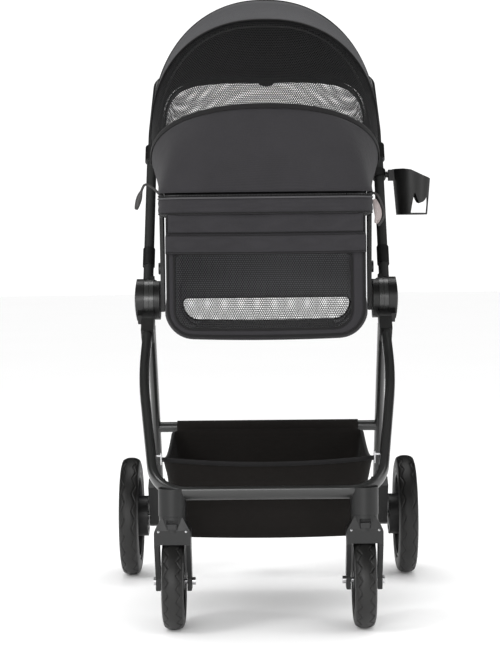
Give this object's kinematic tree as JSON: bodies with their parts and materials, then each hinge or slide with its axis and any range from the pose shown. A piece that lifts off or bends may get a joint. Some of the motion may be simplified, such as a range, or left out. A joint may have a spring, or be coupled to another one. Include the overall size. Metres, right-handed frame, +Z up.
{
  "type": "pet stroller",
  "caption": "Folding pet stroller with a lift-off fabric cabin, mesh windows, folding canopy, swivel front wheels, braked rear wheels, basket and cup holder.",
  "frame": {"origin": "on the floor in the middle plane, midway between the front and rear axles, below the fold hubs", "axes": "+Z up, +X to the right as seen from in front, front towards -Y"},
  "size_m": [0.6174, 0.8125, 1.113],
  "materials": {
    "frame_paint": "satin black powder coat",
    "rim_plastic": "moulded black plastic",
    "tyre": "ribbed foam tyre",
    "plastic": "moulded black plastic",
    "button": "smooth dark grey",
    "steel": "zinc plated",
    "fabric": "charcoal woven polyester",
    "mesh": "open knit mesh",
    "basket_cloth": "black brown woven polyester",
    "cushion_cloth": "grey quilted pad",
    "board": "stiff base board",
    "grip": "stitched dark leather",
    "zip": "woven zipper tape"
  },
  "bodies": {
    "chassis": {"front_frame": "frame_paint", "hub_housings": "plastic", "hub_pins": "steel", "carrier_receivers": "plastic", "caster_housings": "plastic", "basket": "basket_cloth", "basket_hooks": "steel"},
    "rear_frame": {"rear_legs": "frame_paint", "rear_cross_tube": "frame_paint", "rear_brackets": "plastic", "rear_axle_pins": "steel"},
    "brake": {"brake_bar": "frame_paint", "brake_pedal": "plastic"},
    "handle_lower": {"handle_lower_tubes": "frame_paint", "handle_collars": "plastic", "cup_clamp": "plastic"},
    "handle_upper": {"handle_upper": "frame_paint", "handle_grip": "grip"},
    "height_button": {"height_button": "button"},
    "cup_holder": {"cup_holder": "plastic"},
    "carrier": {"cabin_shell": "fabric", "window_mesh": "mesh", "window_flap": "fabric", "base_board": "board", "cushion": "cushion_cloth", "rim_pad": "fabric", "rim_tube": "steel", "zipper_tape": "zip", "carrier_arms": "plastic", "arm_screws": "steel", "canopy_back": "fabric", "canopy_window": "mesh", "canopy_roof": "fabric", "bow_rear": "plastic"},
    "hood_middle": {"bow_middle": "plastic", "canopy_mesh": "mesh"},
    "hood_front": {"bow_front": "plastic", "canopy_cover": "fabric"},
    "caster_left": {"fork_left": "plastic", "front_axle_bolt_left": "steel"},
    "front_wheel_left": {"front_tyre_left": "tyre", "front_rim_left": "rim_plastic"},
    "swivel_lock_left": {"swivel_lock_left": "button"},
    "rear_wheel_left": {"rear_tyre_left": "tyre", "rear_rim_left": "rim_plastic"},
    "brake_pin_left": {"brake_pin_left": "steel"},
    "fold_slider_left": {"fold_slider_left": "button"},
    "carrier_latch_left": {"carrier_latch_left": "button"},
    "zipper_left": {"zipper_pull_left": "zip"},
    "caster_right": {"fork_right": "plastic", "front_axle_bolt_right": "steel"},
    "front_wheel_right": {"front_tyre_right": "tyre", "front_rim_right": "rim_plastic"},
    "swivel_lock_right": {"swivel_lock_right": "button"},
    "rear_wheel_right": {"rear_tyre_right": "tyre", "rear_rim_right": "rim_plastic"},
    "brake_pin_right": {"brake_pin_right": "steel"},
    "fold_slider_right": {"fold_slider_right": "button"},
    "carrier_latch_right": {"carrier_latch_right": "button"},
    "zipper_right": {"zipper_pull_right": "zip"}
  },
  "joints": [
    {"name": "handle_fold", "type": "hinge", "parent": "chassis", "child": "handle_lower", "pos_m": [0, 0, 0.56], "axis": [1, 0, 0], "range_deg": [0, 130], "deforming": ["basket"]},
    {"name": "rear_fold", "type": "hinge", "parent": "chassis", "child": "rear_frame", "pos_m": [0, 0, 0.56], "axis": [1, 0, 0], "range_deg": [-40, 0]},
    {"name": "handle_extend", "type": "slide", "parent": "handle_lower", "child": "handle_upper", "axis": [0, 0.5446, 0.8387], "range_m": [0, 0.12]},
    {"name": "height_button_press", "type": "slide", "parent": "handle_upper", "child": "height_button", "axis": [0, 0, -1], "range_m": [0, 0.004], "stiffness_N_per_m": 300},
    {"name": "cup_swivel", "type": "hinge", "parent": "handle_lower", "child": "cup_holder", "pos_m": [0.2405, 0.1525, 0.79483], "axis": [1, 0, 0], "range_deg": [-90, 90]},
    {"name": "carrier_lift", "type": "slide", "parent": "chassis", "child": "carrier", "axis": [0, 0, 1], "range_m": [0, 0.25]},
    {"name": "hood_middle_fold", "type": "hinge", "parent": "carrier", "child": "hood_middle", "pos_m": [0, -0.02, 0.795], "axis": [1, 0, 0], "range_deg": [-50, 0], "deforming": ["canopy_mesh", "canopy_roof", "canopy_cover"]},
    {"name": "hood_front_fold", "type": "hinge", "parent": "hood_middle", "child": "hood_front", "pos_m": [0, -0.02, 0.795], "axis": [1, 0, 0], "range_deg": [-34, 0]},
    {"name": "brake_press", "type": "hinge", "parent": "rear_frame", "child": "brake", "pos_m": [0, 0.281, 0.1515], "axis": [1, 0, 0], "range_deg": [-25, 0]},
    {"name": "caster_swivel_left", "type": "hinge", "parent": "chassis", "child": "caster_left", "pos_m": [-0.163, -0.305, 0.18], "axis": [0, 0, 1], "continuous": true},
    {"name": "front_wheel_spin_left", "type": "hinge", "parent": "caster_left", "child": "front_wheel_left", "pos_m": [-0.163, -0.275, 0.0825], "axis": [1, 0, 0], "continuous": true},
    {"name": "swivel_lock_press_left", "type": "slide", "parent": "caster_left", "child": "swivel_lock_left", "axis": [0, 0, 1], "range_m": [0, 0.006]},
    {"name": "rear_wheel_spin_left", "type": "hinge", "parent": "rear_frame", "child": "rear_wheel_left", "pos_m": [-0.276, 0.275, 0.1175], "axis": [1, 0, 0], "continuous": true},
    {"name": "brake_pin_slide_left", "type": "slide", "parent": "rear_frame", "child": "brake_pin_left", "axis": [-1, 0, 0], "range_m": [0, 0.005]},
    {"name": "fold_slider_pull_left", "type": "slide", "parent": "handle_lower", "child": "fold_slider_left", "axis": [0, 0.5446, 0.8387], "range_m": [0, 0.012], "stiffness_N_per_m": 300},
    {"name": "carrier_latch_press_left", "type": "slide", "parent": "carrier", "child": "carrier_latch_left", "axis": [1, 0, 0], "range_m": [0, 0.004], "stiffness_N_per_m": 300},
    {"name": "zipper_slide_left", "type": "slide", "parent": "carrier", "child": "zipper_left", "axis": [0, 1, 0], "range_m": [0, 0.12]},
    {"name": "caster_swivel_right", "type": "hinge", "parent": "chassis", "child": "caster_right", "pos_m": [0.163, -0.305, 0.18], "axis": [0, 0, 1], "continuous": true},
    {"name": "front_wheel_spin_right", "type": "hinge", "parent": "caster_right", "child": "front_wheel_right", "pos_m": [0.163, -0.275, 0.0825], "axis": [1, 0, 0], "continuous": true},
    {"name": "swivel_lock_press_right", "type": "slide", "parent": "caster_right", "child": "swivel_lock_right", "axis": [0, 0, 1], "range_m": [0, 0.006]},
    {"name": "rear_wheel_spin_right", "type": "hinge", "parent": "rear_frame", "child": "rear_wheel_right", "pos_m": [0.276, 0.275, 0.1175], "axis": [1, 0, 0], "continuous": true},
    {"name": "brake_pin_slide_right", "type": "slide", "parent": "rear_frame", "child": "brake_pin_right", "axis": [1, 0, 0], "range_m": [0, 0.005]},
    {"name": "fold_slider_pull_right", "type": "slide", "parent": "handle_lower", "child": "fold_slider_right", "axis": [0, 0.5446, 0.8387], "range_m": [0, 0.012], "stiffness_N_per_m": 300},
    {"name": "carrier_latch_press_right", "type": "slide", "parent": "carrier", "child": "carrier_latch_right", "axis": [-1, 0, 0], "range_m": [0, 0.004], "stiffness_N_per_m": 300},
    {"name": "zipper_slide_right", "type": "slide", "parent": "carrier", "child": "zipper_right", "axis": [0, 1, 0], "range_m": [0, 0.12]}
  ],
  "couplings": [
    {"joint": "rear_fold", "follows": "handle_fold", "ratio": -0.30769},
    {"joint": "hood_front_fold", "follows": "hood_middle_fold", "ratio": 0.68},
    {"joint": "brake_pin_slide_left", "follows": "brake_press", "m_per_rad": -0.011459},
    {"joint": "brake_pin_slide_right", "follows": "brake_press", "m_per_rad": -0.011459}
  ]
}
